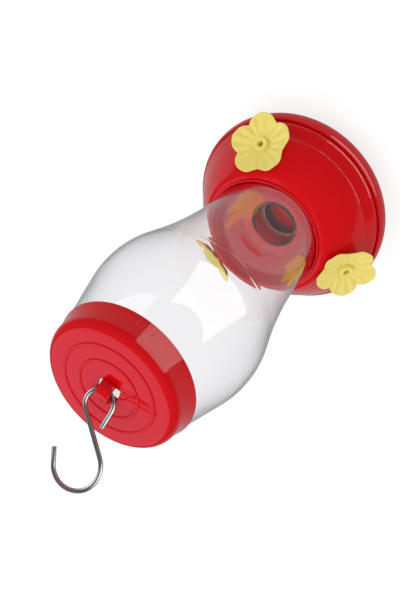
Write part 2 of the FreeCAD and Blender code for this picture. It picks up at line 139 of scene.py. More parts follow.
class DrinkerBase(PropertyGroup):
    rim_radius: size("Rim radius", "Widest radius of the dish", 63.7)
    rim_height: size("Rim height", "Height of the dish's widest ring", 20.2)
    bowl_round: size("Bowl round", "Radius of the dish's belly", 39.3)
    bowl_turn: turn("Bowl turn", "Angle that the belly turns through before the rim", 45.0)
    lip_round: size("Lip round", "Radius of the bead above the widest ring", 10.3)
    lip_height: size("Lip height", "Height of the dish's upper edge", 25.0)
    lip_width: size("Lip width", "Width of the dish's upper edge", 1.1)
    seat_height: size("Seat height", "Height of the ledge that carries the cover", 18.0)
    seat_width: size("Seat width", "Width of the ledge that carries the cover", 1.9)
    wall: size("Wall", "Wall of the dish and the cover", 1.8)
    rib_length: size("Rib length", "Length of the rib across the dish's floor", 40.0)
    rib_width: size("Rib width", "Thickness of that rib", 3.4)
    rib_top: size("Rib top", "Height of that rib's upper edge", 28.5)
    rib_turn: turn("Rib turn", "Direction of that rib in plan", -17.5)
    gap: size("Cover gap", "Gap round the cover inside the lip", 0.3)
    roll_foot: size("Roll foot", "Height where the cover's edge starts to roll inwards", 25.5)
    roll_radius: size("Roll radius", "Radius where the rolled edge ends", 60.36)
    roll_height: size("Roll height", "Height where the rolled edge ends", 28.0)
    roll_round: size("Roll round", "Radius of the rolled edge's section", 4.5)
    flange_radius: size("Flange radius", "Radius at the top of the sloping flange", 56.41)
    flange_height: size("Flange height", "Height at the top of the sloping flange", 34.0)
    step_width: size("Step width", "How far the dome stands out over the flange", 0.4)
    step_height: size("Step height", "Height of that step", 0.3)
    dome_radius: size("Dome radius", "Radius where the dome meets its shoulder", 42.0)
    dome_height: size("Dome height", "Height where the dome meets its shoulder", 55.8)
    dome_round: size("Dome round", "Radius of the dome's section", 133.0)
    deck_radius: size("Deck radius", "Outer radius of the flat ring round the bottle", 38.2)
    deck_height: size("Deck height", "Height of the flat ring round the bottle", 57.8)
    deck_wall: size("Deck wall", "Thickness under the flat ring", 3.8)
    deck_round: size("Deck round", "Radius of the edge between dome and flat ring", 5.0)
    collar_radius: size("Collar radius", "Outer radius of the collar round the bottle", 37.15)
    collar_height: size("Collar height", "Height of the collar round the bottle", 60.0)
    collar_round: size("Collar round", "Radius of the collar's edge", 0.65)
    plastic: colour("Red plastic", "Colour of the dish, the cover and the cap", (0.56, 0.0, 0.0035))


class DrinkerBottle(PropertyGroup):
    wall: size("Wall", "Wall of the bottle", 1.1)
    mouth_height: size("Mouth height", "Height of the neck's open end", 31.0)
    neck_radius: size("Neck radius", "Outer radius of the neck", 15.2)
    neck_wall: size("Neck wall", "Wall of the neck", 2.0)
    waist_radius: size("Waist radius", "Radius of the narrow end above the collar", 35.55)
    waist_height: size("Waist height", "Height where the side starts to flare", 61.1)
    waist_round: size("Waist round", "Radius of the hollow side", 309.2)
    shoulder_round: size("Shoulder round", "Radius of the shoulder inside the cover", 15.7)
    shoulder_height: size("Shoulder height", "Height where that shoulder starts", 60.0)
    flare_turn: turn("Flare turn", "Slope of the flaring side", 15.714)
    bulge_radius: size("Bulge radius", "Widest radius of the bottle", 49.35)
    bulge_height: size("Bulge height", "Height of the widest ring", 161.1)
    bulge_round: size("Bulge round", "Radius of the bulge's section", 60.0)
    taper_turn: turn("Taper turn", "Slope of the side under the cap", 15.0)
    seat_radius: size("Seat radius", "Radius under the cap's edge", 38.98)
    crown_radius: size("Crown radius", "Radius of the closed end inside the cap", 36.03)
    crown_height: size("Crown height", "Height of the closed end", 219.4)
    crown_round: size("Crown round", "Radius of the closed end's edge", 4.0)
    tint: colour("Clear tint", "Colour that the clear plastic lets through", (0.965, 0.965, 0.97))


class DrinkerCap(PropertyGroup):
    edge_height: size("Edge height", "Height of the skirt's lower edge", 207.7)
    edge_radius: size("Edge radius", "Outer radius at the skirt's lower edge", 40.0)
    edge_rise: size("Edge rise", "Height of the straight part above the lower edge", 0.5)
    height: size("Height", "Height of the cap", 14.9)
    wall: size("Wall", "Wall of the skirt", 1.5)
    plate: size("Plate", "Thickness of the cap's face", 1.8)
    lip_rise: size("Lip rise", "Height inside the skirt where it rests on the bottle", 5.3)
    bead_radius: size("Bead radius", "Radius of the skirt under the rounded edge", 37.95)
    skirt_round: size("Skirt round", "Radius of the skirt's slightly hollow section", 35.0)
    top_round: size("Top round", "Radius of the rounded edge of the face", 5.5)
    ring_outer: size("Outer ring", "Radius of the outer ring on the face", 25.9)
    ring_inner: size("Inner ring", "Radius of the inner ring on the face", 16.8)
    ring_width: size("Ring width", "Width of each ring", 1.8)
    ring_proud: size("Ring proud", "How far each ring stands out", 0.55)
    slot_length: size("Slot length", "Length of the slot under the bar", 12.6)
    bar_outer: size("Bar outer radius", "Outer radius of the arched bar", 6.4)
    bar_inner: size("Bar inner radius", "Inner radius of the arched bar", 3.8)
    bar_width: size("Bar width", "Width of the arched bar", 7.3)
    line_count: IntProperty(name="Grip lines", description="Fine raised lines on the skirt", default=4, min=1)
    line_turn: turn("First grip line", "Direction of the first grip line", -89.5)
    line_pitch: turn("Grip pitch", "Turn from one grip line to the next", -4.5)
    line_width: size("Grip width", "Width of each grip line", 0.4)
    line_proud: size("Grip proud", "How far each grip line stands out", 0.15)
    gate_place: point("Gate pip", "Place of the small pip on the face", -14.8 * MM, 2.9 * MM)
    gate_radius: size("Gate radius", "Radius of that pip", 0.6)
    gate_proud: size("Gate proud", "How far that pip stands out", 0.35)


class DrinkerHook(PropertyGroup):
    wire: size("Wire radius", "Radius of the steel wire", 1.2)
    slack: size("Slack", "Clearance between the wire and the bar", 0.3)
    small: size("Small loop", "Radius of the loop round the bar", 7.2)
    large: size("Large loop", "Radius of the hanging loop", 11.9)
    offset: size("Offset", "How far the large loop stands aside", 6.8)
    rise: size("Rise", "Distance between the loops along the hook", 30.5)
    leg: size("Leg", "Straight end of the small loop", 9.2)
    tip: size("Tip", "Straight end of the large loop", 8.6)
    tip_turn: turn("Tip turn", "Where the large loop ends", 31.0)
    lean: turn("Lean", "How far the hook leans above the cap's face", 42.0)
    steel: colour("Steel", "Colour of the wire", (0.62, 0.62, 0.63))


class DrinkerFlowers(PropertyGroup):
    count: IntProperty(name="Flowers", description="Number of flowers", default=3, min=1)
    first: turn("First flower", "Direction of the first flower", 179.0)
    spins: FloatVectorProperty(name="Turns", description="How far each flower is turned about its stem",
                               default=(math.radians(-3.0), math.radians(6.0), 0.0), size=3, subtype="EULER")
    reach: size("Reach", "Distance of each tube's tip from the bottle's axis", 54.9)
    height: size("Height", "Height of each tube's tip", 46.6)
    lean: turn("Lean", "How far each flower leans outwards", 42.0)
    petals: IntProperty(name="Petals", description="Number of petals", default=5, min=3)
    petal_centre: size("Petal centre", "Distance of a petal's centre from the tube", 10.2)
    petal_radius: size("Petal radius", "Radius of a petal's end", 9.0)
    petal_wall: size("Petal wall", "Thickness of the petals", 1.0)
    rise: size("Petal rise", "How far the petals stand past the tube's tip", 1.6)
    depth: size("Cup depth", "Depth of the cup's floor below the tube's tip", 2.4)
    floor: size("Cup floor", "Radius of the cup's flat floor", 5.2)
    flute: size("Flutes", "Height of the flutes along the petals", 0.7)
    groove: size("Groove", "Depth of the groove round the tube", 0.5)
    tube: size("Tube radius", "Outer radius of the tube above the petals", 4.5)
    bore: size("Tube bore", "Radius of the hole in the tube", 1.9)
    stem: size("Stem radius", "Outer radius of the stem below the petals", 3.5)
    stem_length: size("Stem length", "Length of the stem below the petals", 11.0)
    plastic: colour("Yellow plastic", "Colour of the flowers", (0.86, 0.72, 0.19))


class DrinkerStage(PropertyGroup):
    eye: point("Camera place", "Where the camera stands", -0.0978, -0.3075, 0.4555)
    ahead: direction("Camera direction", "Where the camera looks", 0.214, 0.6787, -0.7026)
    upward: direction("Camera upright", "What is upright in the picture", 0.525, -0.6864, -0.5032)
    lens: FloatProperty(name="Lens", description="Focal length on a 36 mm sensor", default=49.53)
    floor: colour("Floor", "Colour of the floor", (0.86, 0.86, 0.86))
    shadow_floor: colour("Shadow floor", "Colour that keeps shadows on the white", (0.28, 0.28, 0.28))
    sky: amount("Surrounding light", "Strength of the light from all round", 0.16)
    well_power: amount("Well light", "Power of the spot down into the well", 8.0)
    well_spread: turn("Well spread", "Angle of that spot's cone", 7.6)
    well_place: point("Well light place", "Where that spot stands", -0.06, -0.2, 0.5)
    well_middle: point("Well middle", "Where that spot looks", 0.0, 0.0, 0.045)
    backdrop: colour("Backdrop panel", "Colour of the dim panel behind the object", (0.62, 0.72, 1.0))


def deselect():
    """Leave edit mode with nothing selected."""
    if bpy.context.mode != "OBJECT":
        bpy.ops.object.mode_set(mode="OBJECT")
    bpy.ops.object.select_all(action="DESELECT")


def edit_all():
    """Enter edit mode on the active piece with all of it selected."""
    bpy.ops.object.mode_set(mode="EDIT")
    bpy.ops.mesh.select_mode(type="VERT")
    bpy.ops.mesh.select_all(action="SELECT")


def settle(piece):
    """Apply the place, turn and scale of the selected piece to its mesh."""
    bpy.ops.object.transform_apply(location=True, rotation=True, scale=True)
    return piece


def draw_along(path):
    """Draw what is selected on along points (radius, height)."""
    for here, there in zip(path, path[1:]):
        step = (there[0] - here[0], 0.0, there[1] - here[1])
        bpy.ops.mesh.extrude_region_move(TRANSFORM_OT_translate={"value": step})


def face_outward(weld=False):
    """Turn all faces outwards, after merging doubled points if asked, and leave edit mode."""
    bpy.ops.mesh.select_all(action="SELECT")
    if weld:
        bpy.ops.mesh.remove_doubles(threshold=MERGE)
    bpy.ops.mesh.normals_make_consistent(inside=False)
    bpy.ops.object.mode_set(mode="OBJECT")


def arc(centre, radius, start, end, steps):
    """Points (radius, height) along an arc, its angles in radians from the outward direction."""
    angles = [start + (end - start) * step / steps for step in range(steps + 1)]
    return [(centre[0] + radius * math.cos(a), centre[1] + radius * math.sin(a)) for a in angles]


def arc_between(start, end, radius, side, steps):
    """Points along the arc from start to end whose centre lies to the left (+1) or right (-1)."""
    run = Vector(end) - Vector(start)
    across = Vector((-run.y, run.x)).normalized() * side
    centre = (Vector(start) + Vector(end)) / 2 + across * math.sqrt(radius ** 2 - run.length_squared / 4)
    first = math.atan2(start[1] - centre.y, start[0] - centre.x)
    sweep = 2 * math.asin(run.length / 2 / radius) * side
    return arc(centre, radius, first, first + sweep, steps)


def fillet(before, corner, after, radius, steps=4):
    """Points that round off a corner of an outline."""
    here = Vector(corner)
    back, on = (Vector(before) - here).normalized(), (Vector(after) - here).normalized()
    reach = radius / math.tan(back.angle(on) / 2)
    side = 1 if back.cross(on) < 0 else -1
    return arc_between(here + back * reach, here + on * reach, radius, side, steps)


def lathe(name, outline, sides=144):
    """Draw a closed half outline point by point and spin it about the upright axis."""
    deselect()
    bpy.ops.mesh.primitive_plane_add(size=MM, location=(outline[0][0], 0.0, outline[0][1]))
    piece = settle(bpy.context.object)
    piece.name = name
    edit_all()
    bpy.ops.mesh.merge(type="CENTER")
    draw_along(outline + outline[:1])
    bpy.ops.mesh.select_all(action="SELECT")
    bpy.ops.mesh.remove_doubles(threshold=MERGE)
    bpy.ops.mesh.spin(steps=sides, angle=2 * math.pi, center=(0, 0, 0), axis=(0, 0, 1))
    face_outward(weld=True)
    return piece


def smooth(piece, degrees=32):
    """Shade a piece smooth except across its sharper edges."""
    deselect()
    piece.select_set(True)
    bpy.context.view_layer.objects.active = piece
    bpy.ops.object.shade_smooth_by_angle(angle=math.radians(degrees))
    return piece


def apply_modifier(piece, kind, **settings):
    """Add a modifier, set it up and apply it."""
    deselect()
    piece.select_set(True)
    bpy.context.view_layer.objects.active = piece
    modifier = piece.modifiers.new(kind.title(), kind)
    for key, setting in settings.items():
        setattr(modifier, key, setting)
    bpy.ops.object.modifier_apply(modifier=modifier.name)
    return piece


def join(piece, *others):
    """Join other meshes into a piece."""
    deselect()
    for part in (piece, *others):
        part.select_set(True)
    bpy.context.view_layer.objects.active = piece
    bpy.ops.object.join()
    return piece


def block(name, dimensions, location, turn_z=0.0, bevel=0.0):
    """A box of given dimensions, with rounded edges where a bevel is given."""
    deselect()
    bpy.ops.mesh.primitive_cube_add(size=1.0, location=location, rotation=(0, 0, turn_z), scale=dimensions)
    piece = settle(bpy.context.object)
    piece.name = name
    if bevel:
        edit_all()
        bpy.ops.mesh.bevel(offset=bevel, offset_type="OFFSET", segments=3, affect="EDGES")
        bpy.ops.object.mode_set(mode="OBJECT")
    return piece


def dress(piece, body, slot, material, *nodes):
    """Give a piece its material, put it on its body and let it stand for its CAD nodes."""
    piece.data.materials.clear()
    piece.data.materials.append(material)
    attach(piece, body)
    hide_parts(*nodes)


def feed(node, **inputs):
    """Set some of a node's inputs, named with an underscore for each space."""
    for key, setting in inputs.items():
        node.inputs[key.replace("_", " ")].default_value = setting
    return node


def add_node(tree, kind, place, **inputs):
    """Add a node to a tree and set some of its inputs."""
    node = tree.nodes.new(kind)
    node.location = place
    return feed(node, **inputs)


def link(tree, source, output, node, socket):
    """Join an output of one node to an input of another."""
    tree.links.new(source.outputs[output], node.inputs[socket])


def moulded_finish():
    """Shared group: colour that drifts a little, uneven gloss and faint waves, as moulding leaves them."""
    name = "Moulded Finish"
    if name in bpy.data.node_groups:
        return bpy.data.node_groups[name]
    group = bpy.data.node_groups.new(name, "ShaderNodeTree")
    sockets = (("Colour", "INPUT", "NodeSocketColor"), ("Drift", "INPUT", "NodeSocketFloat"),
               ("Roughness", "INPUT", "NodeSocketFloat"), ("Scuff", "INPUT", "NodeSocketFloat"),
               ("Waves", "INPUT", "NodeSocketFloat"), ("Wave Size", "INPUT", "NodeSocketFloat"),
               ("Colour", "OUTPUT", "NodeSocketColor"), ("Roughness", "OUTPUT", "NodeSocketFloat"),
               ("Normal", "OUTPUT", "NodeSocketVector"))
    for label, way, kind in sockets:
        group.interface.new_socket(label, in_out=way, socket_type=kind)
    given = add_node(group, "NodeGroupInput", (-900, 0))
    result = add_node(group, "NodeGroupOutput", (600, 0))
    place = add_node(group, "ShaderNodeTexCoord", (-900, -300))
    cloud = add_node(group, "ShaderNodeTexNoise", (-600, 200), Scale=45.0, Detail=3.0)
    smear = add_node(group, "ShaderNodeTexNoise", (-600, -50), Scale=170.0, Detail=5.0, Roughness=0.6)
    wave = add_node(group, "ShaderNodeTexNoise", (-600, -300), Detail=1.5)
    span = add_node(group, "ShaderNodeMapRange", (-350, 200), To_Min=0.78)
    shade = add_node(group, "ShaderNodeMixRGB", (0, 200))
    shade.blend_type = "MULTIPLY"
    scuffed = add_node(group, "ShaderNodeMath", (-150, -50))
    scuffed.operation = "MULTIPLY_ADD"
    bump = add_node(group, "ShaderNodeBump", (0, -300), Distance=0.0004)
    for texture in (cloud, smear, wave):
        link(group, place, "Object", texture, "Vector")
    link(group, given, "Wave Size", wave, "Scale")
    link(group, cloud, "Fac", span, "Value")
    link(group, given, "Drift", shade, "Fac")
    link(group, given, "Colour", shade, "Color1")
    link(group, span, "Result", shade, "Color2")
    link(group, smear, "Fac", scuffed, 0)
    link(group, given, "Scuff", scuffed, 1)
    link(group, given, "Roughness", scuffed, 2)
    link(group, given, "Waves", bump, "Strength")
    link(group, wave, "Fac", bump, "Height")
    link(group, shade, "Color", result, "Colour")
    link(group, scuffed, "Value", result, "Roughness")
    link(group, bump, "Normal", result, "Normal")
    return group


def plastic(name, tint, **settings):
    """A Principled material fed by the shared moulded finish; returns the material and its shader."""
    material = bpy.data.materials.new(name)
    material.use_nodes = True
    tree = material.node_tree
    shader = tree.nodes["Principled BSDF"]
    finish = add_node(tree, "ShaderNodeGroup", (-300, 200))
    finish.node_tree = moulded_finish()
    feed(finish, Colour=(*tint, 1.0), **settings)
    link(tree, finish, "Colour", shader, "Base Color")
    link(tree, finish, "Roughness", shader, "Roughness")
    link(tree, finish, "Normal", shader, "Normal")
    return material, shader


def red_plastic(name):
    """Glossy red moulding."""
    tint = bpy.context.scene.drinker_base.plastic
    material, shader = plastic(name, tint, Roughness=0.045, Scuff=0.05, Drift=0.25,
                               Waves=0.10, Wave_Size=60.0)
    shader.inputs["IOR"].default_value = 1.5
    return material


def yellow_plastic():
    """Satin yellow moulding that lets a little light through."""
    tint = bpy.context.scene.drinker_flowers.plastic
    material, shader = plastic("Yellow Moulding", tint, Roughness=0.38, Scuff=0.12, Drift=0.35,
                               Waves=0.25, Wave_Size=240.0)
    shader.inputs["IOR"].default_value = 1.46
    shader.inputs["Subsurface Weight"].default_value = 0.4
    shader.inputs["Subsurface Radius"].default_value = (1.0, 0.8, 0.3)
    shader.inputs["Subsurface Scale"].default_value = 0.8 * MM
    return material


def clear_plastic():
    """Clear blown plastic. Light from lamps passes through it, so what is inside is lit."""
    tint = bpy.context.scene.drinker_bottle.tint
    material, shader = plastic("Clear Blown Plastic", tint, Roughness=0.0, Scuff=0.03, Drift=0.0,
                               Waves=0.12, Wave_Size=55.0)
    shader.inputs["IOR"].default_value = 1.45
    shader.inputs["Transmission Weight"].default_value = 1.0
    tree = material.node_tree
    through = add_node(tree, "ShaderNodeBsdfTransparent", (0, -300))
    through.inputs["Color"].default_value = (*[part ** 2 for part in tint], 1.0)
    path = add_node(tree, "ShaderNodeLightPath", (0, 500))
    mix = add_node(tree, "ShaderNodeMixShader", (300, 100))
    link(tree, path, "Is Shadow Ray", mix, "Fac")
    link(tree, shader, "BSDF", mix, 1)
    link(tree, through, "BSDF", mix, 2)
    link(tree, mix, "Shader", tree.nodes["Material Output"], "Surface")
    return material


def steel_wire():
    """Bright drawn wire, with a fine grain on it."""
    material = bpy.data.materials.new("Drawn Steel Wire")
    material.use_nodes = True
    tree = material.node_tree
    shader = tree.nodes["Principled BSDF"]
    shader.inputs["Metallic"].default_value = 1.0
    place = add_node(tree, "ShaderNodeTexCoord", (-900, 0))
    stain = add_node(tree, "ShaderNodeTexNoise", (-700, 150), Scale=260.0, Detail=4.0)
    grain = add_node(tree, "ShaderNodeTexNoise", (-700, -150), Scale=1500.0, Detail=2.0)
    tone = add_node(tree, "ShaderNodeValToRGB", (-450, 150))
    steel = bpy.context.scene.drinker_hook.steel
    tone.color_ramp.elements[0].color = (*[part * 0.72 for part in steel], 1.0)
    tone.color_ramp.elements[1].color = (*[part * 1.15 for part in steel], 1.0)
    dull = add_node(tree, "ShaderNodeMapRange", (-450, -100), To_Min=0.10, To_Max=0.22)
    bump = add_node(tree, "ShaderNodeBump", (-250, -300), Strength=0.15, Distance=0.0001)
    for texture in (stain, grain):
        link(tree, place, "Object", texture, "Vector")
    link(tree, stain, "Fac", tone, "Fac")
    link(tree, grain, "Fac", dull, "Value")
    link(tree, grain, "Fac", bump, "Height")
    link(tree, tone, "Color", shader, "Base Color")
    link(tree, dull, "Result", shader, "Roughness")
    link(tree, bump, "Normal", shader, "Normal")
    return material


class DRINKER_OT_dish(Operator):
    """Make the red dish with its rib"""
    bl_idname = "drinker.dish"
    bl_label = "Dish"

    def execute(self, context):
        s = context.scene.drinker_base
        down, level = -math.pi / 2, s.bowl_turn - math.pi / 2
        rim_round = (s.rim_height - s.bowl_round * (1 - math.cos(s.bowl_turn))) / math.cos(s.bowl_turn)
        foot = s.rim_radius - rim_round * (1 - math.sin(s.bowl_turn)) - s.bowl_round * math.sin(s.bowl_turn)
        belly = (foot, s.bowl_round)
        rim = (s.rim_radius - rim_round, s.rim_height)
        lip = (s.rim_radius - s.lip_round, s.rim_height)
        lip_turn = math.asin((s.lip_height - s.rim_height) / s.lip_round)
        edge = lip[0] + s.lip_round * math.cos(lip_turn)
        inner = edge - s.lip_width
        half = SOFT_EDGE / 2
        outline = [(0.0, 0.0)]
        outline += arc(belly, s.bowl_round, down, level, 14)
        outline += arc(rim, rim_round, level, 0.0, 12)[1:]
        outline += arc(lip, s.lip_round, 0.0, lip_turn * 0.9, 8)[1:]
        outline += arc((edge - SOFT_EDGE, s.lip_height - SOFT_EDGE), SOFT_EDGE, 0.4, math.pi / 2, 4)
        outline += arc((inner + half, s.lip_height - half), half, math.pi / 2, math.pi, 3)
        outline += [(inner, s.seat_height), (inner - s.seat_width, s.seat_height)]
        outline += arc(belly, s.bowl_round - s.wall, level, down, 14)
        outline += [(0.0, s.wall)]
        dish = lathe("dish", outline)
        low = s.wall / 2
        rib_size = (s.rib_length, s.rib_width, s.rib_top - low)
        rib = block("dish_rib", rib_size, (0, 0, (s.rib_top + low) / 2), s.rib_turn, SOFT_EDGE)
        smooth(join(dish, rib))
        dress(dish, "base", "dish_plastic", red_plastic("Red Dish"), "base_dish")
        return {"FINISHED"}


class DRINKER_OT_cover(Operator):
    """Make the red cover with its collar and well"""
    bl_idname = "drinker.cover"
    bl_label = "Cover"

    def execute(self, context):
        s, b = context.scene.drinker_base, context.scene.drinker_bottle
        lip_side = math.sqrt(s.lip_round ** 2 - (s.lip_height - s.rim_height) ** 2)
        edge = s.rim_radius - s.lip_round + lip_side - s.lip_width - s.gap
        well = (b.waist_radius - b.shoulder_round, b.shoulder_height)
        well_round = b.shoulder_round + s.gap
        neck = b.neck_radius + s.gap
        floor = b.shoulder_height - well_round
        under = s.deck_height - s.deck_wall
        flange = (s.flange_radius, s.flange_height)
        foot = (s.flange_radius + s.step_width, s.flange_height + s.step_height)
        brow, deck = (s.dome_radius, s.dome_height), (s.deck_radius, s.deck_height)
        dome = arc_between(foot, brow, s.dome_round, 1, 24)
        collar_foot = (s.collar_radius + SOFT_EDGE, s.deck_height + SOFT_EDGE)
        collar = (s.collar_radius - s.collar_round, s.collar_height - s.collar_round)
        outline = [(edge, s.seat_height)]
        outline += arc_between((edge, s.roll_foot), (s.roll_radius, s.roll_height), s.roll_round, 1, 8)
        outline += [flange]
        outline += fillet(flange, foot, dome[1], STEP_ROUND)
        outline += dome[1:]
        outline += arc_between(brow, deck, s.deck_round, 1, 8)[1:]
        outline += arc(collar_foot, SOFT_EDGE, -math.pi / 2, -math.pi, 3)
        outline += arc(collar, s.collar_round, 0.0, math.pi, 10)
        outline += arc(well, well_round, 0.0, -math.pi / 2, 16)
        outline += [(neck, floor), (neck, b.mouth_height), (neck + s.wall, b.mouth_height)]
        outline += [(neck + s.wall, floor - s.wall)]
        stop = -math.asin((b.shoulder_height - under) / (well_round + s.wall))
        outline += arc(well, well_round + s.wall, -math.pi / 2, stop, 12)
        inner_brow = (s.dome_radius - s.wall * 0.8, under)
        inner_edge = (edge - s.wall, s.lip_height - s.wall / 2)
        outline += arc_between(inner_brow, inner_edge, s.dome_round - s.wall, -1, 20)
        outline += [(edge - s.wall, s.seat_height)]
        cover = smooth(lathe("cover", outline))
        dress(cover, "base", "cover_plastic", red_plastic("Red Cover"), "base_cover")
        return {"FINISHED"}


class DRINKER_OT_bottle(Operator):
    """Make the clear bottle"""
    bl_idname = "drinker.bottle"
    bl_label = "Bottle"

    def wall(self, b, inset):
        """The bottle's side from the waist to the end of the bulge, set in by a wall."""
        waist = (b.waist_radius + b.waist_round, b.waist_height)
        bulge = (b.bulge_radius - b.bulge_round, b.bulge_height)
        side = arc(waist, b.waist_round + inset, math.pi, math.pi - b.flare_turn, 26)
        side += arc(bulge, b.bulge_round - inset, -b.flare_turn, b.taper_turn, 22)
        return side

    def execute(self, context):
        b, c = context.scene.drinker_bottle, context.scene.drinker_cap
        shoulder = (b.waist_radius - b.shoulder_round, b.shoulder_height)
        crown = (b.crown_radius - b.crown_round, b.crown_height - b.crown_round)
        floor = b.shoulder_height - b.shoulder_round
        neck = (b.neck_radius + NECK_ROUND, floor - NECK_ROUND)
        inner = b.neck_radius - b.neck_wall
        inner_neck = (inner + NECK_ROUND, floor + b.wall - NECK_ROUND)
        under_seat = c.edge_height - b.wall
        outline = [(inner, b.mouth_height), (b.neck_radius, b.mouth_height)]
        outline += arc(neck, NECK_ROUND, math.pi, math.pi / 2, 4)
        outline += arc(shoulder, b.shoulder_round, -math.pi / 2, 0.0, 18)
        outline += self.wall(b, 0.0)
        outline += [(b.seat_radius, c.edge_height), (b.crown_radius, c.edge_height)]
        outline += arc(crown, b.crown_round, 0.0, math.pi / 2, 8)
        outline += [(0.0, b.crown_height), (0.0, b.crown_height - b.wall)]
        outline += arc(crown, b.crown_round - b.wall, math.pi / 2, 0.0, 8)
        outline += [(b.crown_radius - b.wall, under_seat), (b.seat_radius - b.wall, under_seat)]
        outline += reversed(self.wall(b, b.wall))
        outline += arc(shoulder, b.shoulder_round - b.wall, 0.0, -math.pi / 2, 18)
        outline += arc(inner_neck, NECK_ROUND, math.pi / 2, math.pi, 5)
        bottle = smooth(lathe("clear_bottle", outline), 40)
        dress(bottle, "bottle", "clear_plastic", clear_plastic(), "bottle")
        return {"FINISHED"}


class DRINKER_OT_cap(Operator):
    """Make the red cap with its rings and arched bar"""
    bl_idname = "drinker.cap"
    bl_label = "Cap"

    def execute(self, context):
        c = context.scene.drinker_cap
        top = c.edge_height + c.height
        edge = (c.edge_radius, c.edge_height + c.edge_rise)
        bead = (c.bead_radius, top - c.top_round)
        skirt = arc_between(edge, bead, c.skirt_round, -1, 14)
        inner = c.bead_radius - c.wall
        foot = (c.edge_radius - SKIRT_EDGE, c.edge_height + SKIRT_EDGE)
        brow = (c.bead_radius - c.top_round, top - c.top_round)
        inner_brow = (inner - PLATE_ROUND, top - c.plate - PLATE_ROUND)
        outline = [(c.edge_radius - c.wall, c.edge_height)]
        outline += arc(foot, SKIRT_EDGE, -math.pi / 2, 0.0, 3)
        outline += skirt
        outline += arc(brow, c.top_round, 0.0, math.pi / 2, 14)[1:]
        ring_round = c.ring_width ** 2 / 8 / c.ring_proud + c.ring_proud / 2
        half = c.ring_width / 2
        for ring in (c.ring_outer, c.ring_inner):
            outline += arc_between((ring + half, top), (ring - half, top), ring_round, 1, 6)
        outline += [(0.0, top), (0.0, top - c.plate)]
        outline += arc(inner_brow, PLATE_ROUND, math.pi / 2, 0.0, 5)
        outline += [(inner, c.edge_height + c.lip_rise)]
        cap = lathe("hanging_cap", outline)

        slot = (c.slot_length, 2 * c.bar_inner, c.plate * 4)
        cutter = block("slot_cutter", slot, (0, 0, top - c.plate / 2))
        apply_modifier(cap, "BOOLEAN", operation="DIFFERENCE", object=cutter, solver="EXACT")
        bpy.data.objects.remove(cutter)

        pieces = (self.bar(c, top), self.pip(c, top), *self.grip_lines(c, skirt[1:9]))
        smooth(join(cap, *pieces))
        dress(cap, "bottle", "cap_plastic", red_plastic("Red Cap"), "hanger_cap")
        return {"FINISHED"}

    def bar(self, c, top):
        """The arched bar that the hook goes under."""
        deselect()
        middle = (c.bar_inner + c.bar_outer) / 2
        bpy.ops.mesh.primitive_plane_add(size=1.0, location=(0, middle, top))
        bar = bpy.context.object
        bar.scale = (c.bar_width, c.bar_outer - c.bar_inner, 1.0)
        settle(bar)
        edit_all()
        bpy.ops.mesh.spin(steps=28, angle=math.pi, center=(0, 0, top), axis=(-1, 0, 0))
        face_outward()
        return apply_modifier(bar, "BEVEL", width=BAR_EDGE, segments=3, angle_limit=math.radians(60))

    def pip(self, c, top):
        """The small pip that moulding leaves on the face."""
        deselect()
        place = (*c.gate_place, top)
        bpy.ops.mesh.primitive_uv_sphere_add(segments=24, ring_count=12, radius=1.0, location=place)
        pip = bpy.context.object
        pip.scale = (c.gate_radius, c.gate_radius, c.gate_proud)
        return settle(pip)

    def grip_lines(self, c, path):
        """Fine raised lines down the skirt, swept along its section."""
        lines = []
        start = (path[0][0] + c.line_proud - c.line_width / 2, 0, path[0][1])
        for index in range(c.line_count):
            deselect()
            bpy.ops.mesh.primitive_circle_add(vertices=10, radius=c.line_width / 2, fill_type="NGON",
                                              location=start)
            line = settle(bpy.context.object)
            edit_all()
            draw_along(path)
            face_outward()
            line.rotation_euler.z = c.line_turn + index * c.line_pitch
            lines.append(settle(line))
        return lines


class DRINKER_OT_hook(Operator):
    """Bend the steel S-hook"""
    bl_idname = "drinker.hook"
    bl_label = "Hook"

    def execute(self, context):
        k, c = context.scene.drinker_hook, context.scene.drinker_cap
        inside = k.small - k.wire - k.slack
        near = c.bar_inner + math.sqrt(inside ** 2 - (c.bar_width / 2) ** 2)
        low, high = Vector((0, near, 0)), Vector((-k.offset, near + k.rise, 0))
        span = high - low
        slope = math.atan2(span.y, span.x) - math.acos((k.small + k.large) / span.length)
        straight = math.sqrt(span.length_squared - (k.small + k.large) ** 2)

        deselect()
        end = (-k.small, near + k.leg, 0)
        bpy.ops.mesh.primitive_circle_add(vertices=28, radius=k.wire, fill_type="NGON", location=end,
                                          rotation=(math.pi / 2, 0, 0))
        hook = settle(bpy.context.object)
        hook.name = "wire_hook"
        edit_all()
        self.run((0, -k.leg, 0))
        self.bend(low, math.pi + slope, 1, 26)
        self.run(Vector((-math.sin(slope), math.cos(slope), 0)) * straight)
        self.bend(high, math.pi + slope - k.tip_turn, -1, 40)
        self.run(Vector((math.sin(k.tip_turn), -math.cos(k.tip_turn), 0)) * k.tip)
        face_outward(weld=True)
        hook.location = (0, 0, c.edge_height + c.height)
        hook.rotation_euler = (k.lean, 0, 0)
        settle(hook)
        apply_modifier(hook, "BEVEL", width=WIRE_EDGE, segments=3, angle_limit=math.radians(60))
        smooth(hook, 50)
        dress(hook, "hook", "steel_wire", steel_wire(), "hanging_hook")
        return {"FINISHED"}

    def run(self, step):
        """Draw the wire's end straight on by a step."""
        bpy.ops.mesh.extrude_region_move(TRANSFORM_OT_translate={"value": step})

    def bend(self, centre, angle, way, steps):
        """Bend the wire's end round a centre, to the left (+1) or right (-1)."""
        bpy.ops.mesh.spin(steps=steps, angle=angle, center=centre, axis=(0, 0, -way))


